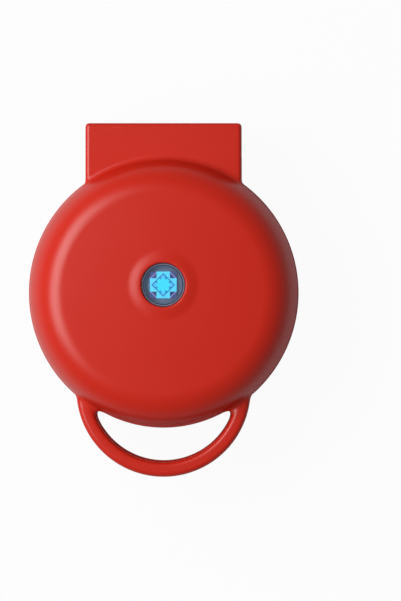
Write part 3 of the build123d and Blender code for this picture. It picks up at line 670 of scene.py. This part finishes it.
def window_seat(sizes):
    """The wall round the window, whose top follows the lid, with a bevel and a seam inside it."""
    hole, seam, lip, outside = WINDOW_RADIUS + 0.05 * MM, 10.6 * MM, 11.15 * MM, 13.5 * MM
    root, ledge, sunk = 29 * MM, WINDOW_TOP - 1.2 * MM, BOSS_TOP - 0.08 * MM
    bevel, over, round_edge, hair = BOSS_TOP - 0.2 * MM, BOSS_TOP + 0.015 * MM, 0.1 * MM, 0.02 * MM
    outline = [(hole, root), (outside, root), (outside, sunk)]
    outline += [(lip + step * 0.61 * MM, over) for step in (3, 2, 1, 0)]
    outline += [(lip - round_edge, over - hair), (seam, bevel), (seam, ledge), (hole, ledge)]
    corners, faces = turned(outline, (0, WINDOW_Y, 0), sides=120)[:2]
    # The lid's height at each corner, found by steps onto its surface
    height = np.full(len(corners), BOSS_TOP)
    for _ in range(4):
        height -= lid_form(corners[:, 0], corners[:, 1], height, sizes)
    upper = corners[:, 2] > bevel - hair
    corners[upper, 2] += (height - BOSS_TOP)[upper]
    normals = slope(lambda x, y, h: lid_form(x, y, h, sizes), corners)
    plain = np.hypot(corners[:, 0], corners[:, 1] - WINDOW_Y) < lip + round_edge
    normals[plain | (corners[:, 2] < sunk - 0.4 * MM)] = 0
    return corners + MIDDLE, faces, normals


def post(x, y, radius, low, high):
    """A round post at a place from the middle, in heights over the parting plane."""
    return turned(rectangle(0, radius, low, high), (AXIS_X + x, AXIS_Y + y, PARTING), sides=24)


def screw_posts(ring, low, high):
    """Posts that take the four frame screws."""
    return [post(x, y, 3.2 * MM, low, high) for x, y in arc((0, 0), ring, 45, 315, 3)]


class WAFFLE_OT_base_cover(bpy.types.Operator):
    """Build the base's moulded cover with its hinge notch, ears and handle"""

    bl_idname = "waffle.base_cover"
    bl_label = "Base Cover"

    def execute(self, context):
        sizes, plates = context.scene.waffle_housing, context.scene.waffle_plates
        parts = [cover_mesh(sizes, False)]
        wall_y, root_y = HINGE.y - sizes.notch_front, HINGE.y - sizes.notch_front - sizes.wall / 2
        low, high = HINGE.z - BARREL, PARTING - sizes.rim_setback
        foot, start = low - 4 * MM, math.degrees(math.asin((high - HINGE.z) / BARREL))
        near, far = 31.2 * MM, 34.8 * MM
        ear = [(root_y, foot), (wall_y + 1 * MM, foot), (wall_y + 3 * MM, low)]
        ear += arc((HINGE.y, HINGE.z), BARREL, -90, 180 - start, 30) + [(root_y, high)]
        parts += [extruded(ear, *span, "X") for span in ((-far, -near), (near, far))]
        parts += screw_posts(plates.screw_ring, low=-24 * MM, high=-4.5 * MM)
        placed_solid("base_cover", parts, "base", "red_plastic", "base_shell")
        return {"FINISHED"}


class WAFFLE_OT_plates(bpy.types.Operator):
    """Build the two cast plates with their teeth"""

    bl_idname = "waffle.plates"
    bl_label = "Cast Plates"

    def execute(self, context):
        sizes = context.scene.waffle_plates
        reach, deepest = PLATE_RADIUS, 11 * MM
        for name, node, body, lid in (
                ("upper_cast_plate", "upper_plate", "lid", True),
                ("lower_cast_plate", "lower_plate", "base", False)):
            part = half_mesh(
                lambda x, y, h: plate_distance(x, y, h, sizes), (-reach, -reach, 0),
                (reach, reach, deepest), sizes.cell, lid)
            placed_solid(name, [part], body, "nonstick_plate", node)
        return {"FINISHED"}


class WAFFLE_OT_frames(bpy.types.Operator):
    """Round the edges of the two black frames"""

    bl_idname = "waffle.frames"
    bl_label = "Plate Frames"

    def execute(self, context):
        width, trim = context.scene.waffle_plates.moulded_round, finishes()["black_plastic"]
        for name, node, body in (
                ("lid_trim_ring", "lid_frame", "lid"), ("base_trim_ring", "base_frame", "base")):
            mesh = frame["nodes"][node].data.copy()
            form = bmesh.new()
            form.from_mesh(mesh)
            bmesh.ops.remove_doubles(form, verts=form.verts, dist=1e-6)
            bmesh.ops.dissolve_limit(form, angle_limit=math.radians(0.5), verts=form.verts, edges=form.edges)
            form.to_mesh(mesh)
            form.free()
            mesh.shade_smooth()
            mesh.materials.clear()
            mesh.materials.append(trim)
            rough = linked(name + "_rough", mesh)
            bevel = rough.modifiers.new("Rounding", "BEVEL")
            bevel.width, bevel.segments = width, 2
            bevel.limit_method, bevel.angle_limit = "ANGLE", math.radians(40)
            even = rough.modifiers.new("Even Shading", "WEIGHTED_NORMAL")
            even.weight, even.keep_sharp = 100, True
            placed(name, evaluated_mesh(name, rough), body, "black_plastic", node)
        return {"FINISHED"}


def screw_mesh(sizes):
    """A recessed pan-head screw that points up, its head's top at height zero."""
    steel = finishes()["screw_steel"]
    head, height, shank = sizes.screw_head, sizes.screw_height, sizes.screw_shank
    end = height + sizes.screw_length
    outline = [
        (0, 0), (head * 0.62, 0), (head * 0.9, height * 0.28), (head, height * 0.7), (head, height),
        (shank, height), (shank, end - shank), (shank * 0.2, end), (0, end)]
    body = linked("screw_body", solid("screw_body", [turned(outline, sides=28)], steel))
    arm, half, deep = sizes.recess, 0.36 * MM, height * 0.6
    cross, corner = [], [(half, half), (half, arm), (-half, arm)]
    for _ in range(4):
        cross += corner
        corner = [(-y, x) for x, y in corner]
    recess = solid("screw_recess", [extruded(cross, -1 * MM, deep)], steel)
    cut = body.modifiers.new("Recess", "BOOLEAN")
    cut.object, cut.operation, cut.solver = linked("screw_recess", recess), "DIFFERENCE", "EXACT"
    return evaluated_mesh("screw", body, cut.object)


def ring_tree():
    """Geometry Nodes that set copies of a piece round a circle, standing up or turned over."""
    name = "Set Out On A Ring"
    if name in bpy.data.node_groups:
        return bpy.data.node_groups[name]
    tree = bpy.data.node_groups.new(name, "GeometryNodeTree")
    add_sockets(tree, "INPUT", (
        ("Geometry", "Geometry"), ("Piece", "Object"), ("Count", "Int", 4), ("Ring Radius", "Float", 0.05),
        ("First Angle", "Float"), ("Centre", "Vector"), ("Tilt", "Vector")))
    add_sockets(tree, "OUTPUT", (("Geometry", "Geometry"),))
    given, out, circle, turn, move, piece, copies, real = added(
        tree, "NodeGroupInput", "NodeGroupOutput", "GeometryNodeMeshCircle", "ShaderNodeCombineXYZ",
        "GeometryNodeTransform", "GeometryNodeObjectInfo", "GeometryNodeInstanceOnPoints",
        "GeometryNodeRealizeInstances")
    set_inputs(piece, {"As Instance": True})
    join(tree, (given, "Count", circle, "Vertices"), (given, "Ring Radius", circle, "Radius"),
         (given, "First Angle", turn, "Z"), (turn, 0, move, "Rotation"),
         (given, "Centre", move, "Translation"), (circle, "Mesh", move, "Geometry"),
         (given, "Piece", piece, "Object"), (piece, "Geometry", copies, "Instance"),
         (move, "Geometry", copies, "Points"), (given, "Tilt", copies, "Rotation"),
         (copies, "Instances", real, "Geometry"), (real, "Geometry", out, "Geometry"))
    return tree


def ring_of(name, piece_mesh, values):
    """One plain mesh of copies set round a circle, with the values of the ring's other inputs."""
    source = linked(name + "_piece", piece_mesh)
    holder = linked(name + "_ring", bpy.data.meshes.new(name + "_ring"))
    modifier = holder.modifiers.new("Ring", "NODES")
    modifier.node_group = ring_tree()
    values = {"Piece": source, **values}
    for item in modifier.node_group.interface.items_tree:
        if item.in_out == "INPUT" and item.name in values:
            modifier[item.identifier] = values[item.name]
    mesh = evaluated_mesh(name, holder, source)
    mesh.set_sharp_from_angle(angle=SHARP)
    return mesh


class WAFFLE_OT_screws(bpy.types.Operator):
    """Set out the frame screws with Geometry Nodes"""

    bl_idname = "waffle.screws"
    bl_label = "Frame Screws"

    def execute(self, context):
        sizes = context.scene.waffle_plates
        for name, node, body, tilt in (
                ("lid_trim_screws", "lid_frame_screws", "lid", 0),
                ("base_trim_screws", "base_frame_screws", "base", math.pi)):
            low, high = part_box(node)
            mesh = ring_of(name, screw_mesh(sizes), {
                "Count": 4, "Ring Radius": sizes.screw_ring, "First Angle": math.pi / 4,
                "Centre": (AXIS_X, AXIS_Y, high.z if tilt else low.z), "Tilt": (tilt, 0, 0)})
            placed(name, mesh, body, "screw_steel", node)
        return {"FINISHED"}


class WAFFLE_OT_feet(bpy.types.Operator):
    """Turn the rubber feet and the bush for the mains lead"""

    bl_idname = "waffle.feet"
    bl_label = "Feet And Bush"

    def execute(self, context):
        parts, nodes = [], [name for name in frame["nodes"] if name.startswith("foot_")]
        for node in nodes:
            low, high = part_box(node)
            radius, hollow, middle = (high.x - low.x) / 2, 0.4 * MM, (low + high) / 2
            outline = [
                (0, hollow), (radius * 0.55, hollow), (radius * 0.6, 0), (radius * 0.93, 0),
                (radius, high.z), (0, high.z)]
            parts.append(turned(eased(outline, 0.6 * MM, 3), (middle.x, middle.y, low.z), sides=48))
        placed_solid("rubber_feet", parts, "base", "foot_rubber", *nodes)
        bore, tube, flange = 3.2 * MM, 4.1 * MM, GLAND_RADIUS - 0.05 * MM
        back, shoulder, face = GLAND_LOW.y, GLAND_HIGH.y - 2.5 * MM, GLAND_HIGH.y
        outline = [
            (bore, back), (tube, back), (tube, shoulder), (flange, shoulder), (flange, face), (bore, face)]
        place = (AXIS_X, 0, PARTING - GLAND_DEPTH)
        bush = turned(eased(outline, 0.5 * MM, 3), place, "Y", 64)
        placed_solid("cord_bush", [bush], "base", "gland_plastic", "cord_gland")
        return {"FINISHED"}


class WAFFLE_OT_indicator(bpy.types.Operator):
    """Build the window, the ringed cup and the faceted jewel"""

    bl_idname = "waffle.indicator"
    bl_label = "Indicator"

    def execute(self, context):
        place = (AXIS_X, AXIS_Y + WINDOW_Y, PARTING)
        pane = eased(rectangle(0, WINDOW_RADIUS, WINDOW_BOTTOM, WINDOW_TOP), 0.3 * MM)
        clear = finish("Clear Window", (0.20, 0.24, 0.32), 0.06, roughness_shift=0.02, bump=0.0)
        set_inputs(clear.node_tree.nodes["Principled BSDF"], {"Alpha": 0.10})
        mesh = solid("clear_pane", [turned(pane, place, sides=120)], clear)
        placed("clear_pane", mesh, "lid", "clear_window", "indicator_window")
        # The cup's radii, and its heights over its rim, in millimetres
        cup = [
            (10.35, -0.2), (10.05, -0.2), (10.0, 0), (9.7, 0), (9.6, -0.3), (9.1, -0.3), (9.0, -0.05),
            (8.7, -0.45), (8.6, -2.3), (3.0, -2.4), (3.0, -4.05), (8.9, -4.05), (8.9, -0.7), (10.35, -0.7)]
        rim = WINDOW_BOTTOM - 0.02 * MM
        outline = [(radius * MM, rim + rise * MM) for radius, rise in cup]
        mesh = solid("ringed_cup", [turned(outline, place, sides=120)], finishes()["bezel_plastic"])
        # Painted light on the cup's upward faces: the lighter rim band is a painted highlight, and the dark bands
        # in the inner groove and at the window's seam are painted shade.
        for tone, colour, painted_light_bands in (
                ("Rim Highlight", (0.30, 0.33, 0.46), [(9.68, 10.02)]),
                ("Groove Shade", (0.015, 0.022, 0.07), [(10.02, 10.4), (9.02, 9.68)])):
            mesh.materials.append(finish("Bezel " + tone, colour, 0.25, colour_shift=0.1))
            for polygon in mesh.polygons:
                radius = math.hypot(polygon.center.x - place[0], polygon.center.y - place[1]) / MM
                if polygon.normal.z > 0.1 and any(inner < radius < outer for inner, outer in painted_light_bands):
                    polygon.material_index = len(mesh.materials) - 1
        placed("ringed_cup", mesh, "lid", "bezel_plastic", "indicator_bezel")
        jewel = jewel_mesh(place, context.scene.waffle_colours.glow)
        placed("cut_jewel", jewel, "lid", "jewel_plastic", "indicator_jewel")
        return {"FINISHED"}


def jewel_mesh(place, lit):
    """A lit jewel: a round table in a thin diamond line, four rhombs, broad arms and cut corners, each facet kind
    glowing in its own painted light or shade.
    """
    low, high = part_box("indicator_jewel")
    half, base, top = (high.x - low.x) / 2, low.z - PARTING, high.z - PARTING
    arm, edge, table, diamond, line, side = (half * share for share in (0.5, 0.91, 0.46, 0.79, 0.89, 0.136))
    crown, shoulder, girdle = top - 0.3 * MM, top - 0.9 * MM, base + 0.9 * MM
    # Painted light and shade per facet: the bright, arm and rhomb facets are painted highlights, the deep, line,
    # corner and skirt facets are painted shade, and the edge facets are a painted lilac glint.
    painted_facet_tones = {kind: glow("Jewel " + kind.title(), tone, strength) for kind, tone, strength in (
        ("bright", lit, 1.08), ("arm", (0.09, 0.68, 1.0), 1.08), ("rhomb", (0.08, 0.50, 1.0), 1.05),
        ("deep", (0.012, 0.28, 0.68), 1.0), ("line", (0.008, 0.21, 0.47), 1.0),
        ("corner", (0.02, 0.055, 0.18), 0.9), ("edge", (0.27, 0.28, 0.74), 1.0),
        ("skirt", (0.06, 0.09, 0.26), 0.8))}
    kinds = list(painted_facet_tones)
    form = bmesh.new()

    def face(kind, points):
        polygon = form.faces.new([form.verts.new(point) for point in points])
        polygon.material_index = kinds.index(kind)

    def circle_point(angle):
        return (table * math.cos(math.radians(angle)), table * math.sin(math.radians(angle)), top)

    face("bright", [circle_point(angle) for angle in range(0, 360, 15)])
    blob, turn_in = (side, diamond - side, crown), (diamond * 0.39, diamond * 0.61, crown)
    middle, outer_middle = (diamond / 2, diamond / 2, crown), (line / 2, line / 2, crown)
    root, cut = (arm, arm, crown - 0.1 * MM), (arm, edge, shoulder - 0.1 * MM)
    tip, end, skirt = (arm, half, shoulder), (0, half, shoulder), (arm, half, base)
    halves = [
        ("rhomb", [circle_point(90), blob, (0, diamond, crown)]),
        ("bright", [circle_point(90), circle_point(75), blob]),
        ("deep", [circle_point(75), circle_point(60), turn_in, blob]),
        ("bright", [circle_point(60), circle_point(45), middle, turn_in]),
        ("line", [(0, diamond, crown), blob, turn_in, middle, outer_middle, (0, line, crown)]),
        ("arm", [(0, line, crown), outer_middle, root, cut, tip, end]),
        ("arm", [end, tip, skirt, (0, half, base)]),
        ("corner", [root, mirrored(cut), cut]),
    ]
    for quarter in range(4):
        turn = Matrix.Rotation(quarter * math.pi / 2, 3, "Z")
        for flip in (1, -1):
            for kind, points in halves:
                if kind == "corner" and flip < 0:
                    continue
                outline = [turn @ Vector((flip * x, y, z)) for x, y, z in points]
                face(kind, outline if flip < 0 else outline[::-1])
        far = (half, half, girdle)
        for kind, points in (
                ("edge", [cut, mirrored(cut), mirrored(tip), tip]),
                ("skirt", [tip, mirrored(tip), far]),
                ("skirt", [tip, far, (half, half, base), skirt]),
                ("skirt", [far, mirrored(tip), mirrored(skirt), (half, half, base)])):
            face(kind, [turn @ Vector(point) for point in points][::-1])
        face("skirt", [turn @ Vector(point) for point in (
            (0, 0, base), (half, 0, base), mirrored(skirt), (half, half, base), skirt, (0, half, base))])
    bmesh.ops.remove_doubles(form, verts=form.verts, dist=1e-6)
    bmesh.ops.recalc_face_normals(form, faces=form.faces)
    bmesh.ops.translate(form, verts=form.verts, vec=place)
    mesh = bpy.data.meshes.new("cut_jewel")
    form.to_mesh(mesh)
    form.free()
    for material in painted_facet_tones.values():
        mesh.materials.append(material)
    return mesh


def mirrored(point):
    """The point on the other side of the diagonal."""
    return (point[1], point[0], point[2])


class WAFFLE_OT_inner_parts(bpy.types.Operator):
    """Give each sub-part the finish of its slot, where the slot has one"""

    bl_idname = "waffle.inner_parts"
    bl_label = "Inner Parts"

    def execute(self, context):
        by_slot = finishes()
        for part in frame["record"]["subparts"]:
            if part["material_slot"] in by_slot:
                materials = frame["nodes"][part["node"]].data.materials
                materials.clear()
                materials.append(by_slot[part["material_slot"]])
        return {"FINISHED"}


class WAFFLE_OT_stage(bpy.types.Operator):
    """Set up the floor, the soft light and the camera"""

    bl_idname = "waffle.stage"
    bl_label = "Stage"

    def execute(self, context):
        scene = context.scene
        scene.view_settings.view_transform = "Standard"
        reach = 4.0
        mesh = bpy.data.meshes.new("floor")
        corners = [(x, y, 0) for x, y in rectangle(-reach, reach, -reach, reach)]
        mesh.from_pydata(corners, [], [(0, 1, 2, 3)])
        mesh.materials.append(floor_finish())
        linked("floor", mesh)
        scene.world = studio_world(level=0.21)
        softbox("key_softbox", azimuth=167, elevation=53, distance=0.95, size=(0.9, 0.50), power=9.9)
        data = bpy.data.cameras.new("camera")
        data.lens, data.clip_end = 300.0, 20.0
        pixel, pixel_rows, sensor = 0.48 * MM, 601, 36.0
        right, back, plane = 17.7 * MM, 3.7 * MM, 0.045
        scene.camera = linked("camera", data)
        scene.camera.location = (
            AXIS_X + right, AXIS_Y - back, plane + pixel_rows * pixel * data.lens / sensor)
        return {"FINISHED"}


def softbox(name, azimuth, elevation, distance, size, power):
    """A rectangular lamp aimed at the housing from an azimuth (0 at +X) and an elevation."""
    data = bpy.data.lights.new(name, "AREA")
    data.shape = "RECTANGLE"
    data.size, data.size_y = size
    data.energy = power
    lamp = linked(name, data)
    turn, tilt = math.radians(azimuth), math.radians(elevation)
    out = Vector((math.cos(turn) * math.cos(tilt), math.sin(turn) * math.cos(tilt), math.sin(tilt)))
    lamp.location = Vector(MIDDLE) + out * distance
    lamp.rotation_euler = out.to_track_quat("Z", "Y").to_euler()


def seen_rays(tree, share):
    """One for what the camera sees, a share for reflections and clear plastic, and nought for light."""
    path = tree.nodes.new("ShaderNodeLightPath")
    other = math_node(tree, "MAXIMUM", path.outputs["Is Glossy Ray"], path.outputs["Is Transmission Ray"])
    other = math_node(tree, "MULTIPLY", other, share)
    return math_node(tree, "MAXIMUM", path.outputs["Is Camera Ray"], other)


def studio_world(level):
    """An even light, with a white backdrop all round and a dim ceiling where it is seen."""
    world = bpy.data.worlds.new("Studio")
    world.use_nodes = True
    tree = world.node_tree
    background = tree.nodes["Background"]
    set_inputs(background, {"Color": (1, 1, 1, 1)})
    way, parts, height = added(tree, "ShaderNodeTexCoord", "ShaderNodeSeparateXYZ", "ShaderNodeMapRange")
    height.interpolation_type = "SMOOTHSTEP"
    set_inputs(height, {"From Min": 0.10, "From Max": 0.35, "To Min": 1.0, "To Max": 0.0})
    join(tree, (way, "Generated", parts, 0), (parts, "Z", height, "Value"))
    backdrop = math_node(tree, "MULTIPLY", seen_rays(tree, share=0.30), height.outputs["Result"])
    strength = math_node(tree, "MULTIPLY", backdrop, 1.0 - level)
    tree.links.new(math_node(tree, "ADD", strength, level), background.inputs["Strength"])
    return world


def floor_finish():
    """A pale floor that keeps a faint shadow where it is seen."""
    material = bpy.data.materials.new("Pale Floor")
    material.use_nodes = True
    tree = material.node_tree
    shader = tree.nodes["Principled BSDF"]
    set_inputs(shader, {"Base Color": (0.65, 0.65, 0.65, 1), "Roughness": 0.9, "Specular IOR Level": 0.1})
    white, blend = added(tree, "ShaderNodeEmission", "ShaderNodeMixShader")
    set_inputs(white, {"Color": (1, 1, 1, 1)})
    whiteness = math_node(tree, "MULTIPLY", seen_rays(tree, share=0.10), 0.95)
    tree.links.new(whiteness, blend.inputs[0])
    join(tree, (shader, 0, blend, 1), (white, 0, blend, 2),
         (blend, 0, tree.nodes["Material Output"], "Surface"))
    return material


class WAFFLE_PT_panel(bpy.types.Panel):
    """Lists the pieces of the waffle maker"""

    bl_idname = "WAFFLE_PT_panel"
    bl_label = "Waffle Maker"
    bl_space_type = "VIEW_3D"
    bl_region_type = "UI"
    bl_category = "Waffle Maker"

    def draw(self, context):
        for operator in OPERATORS:
            self.layout.operator(operator.bl_idname)
        for group in GROUPS:
            box = self.layout.box()
            for name in GROUPS[group].__annotations__:
                box.prop(getattr(context.scene, group), name, text=name.replace("_", " ").capitalize())


GROUPS = {"waffle_housing": HousingSizes, "waffle_plates": PlateSizes, "waffle_colours": FinishColours}
OPERATORS = (
    WAFFLE_OT_inner_parts, WAFFLE_OT_lid_cover, WAFFLE_OT_base_cover, WAFFLE_OT_plates,
    WAFFLE_OT_frames, WAFFLE_OT_screws, WAFFLE_OT_feet, WAFFLE_OT_indicator, WAFFLE_OT_stage)


def register():
    for item in (*GROUPS.values(), *OPERATORS, WAFFLE_PT_panel):
        bpy.utils.register_class(item)
    for name, group in GROUPS.items():
        setattr(bpy.types.Scene, name, bpy.props.PointerProperty(type=group))


def unregister():
    for name in GROUPS:
        delattr(bpy.types.Scene, name)
    for item in (WAFFLE_PT_panel, *reversed(OPERATORS), *GROUPS.values()):
        bpy.utils.unregister_class(item)


def main():
    register()
    for operator in OPERATORS:
        getattr(bpy.ops.waffle, operator.bl_idname.split(".")[1])()


if __name__ == "__main__":
    main()
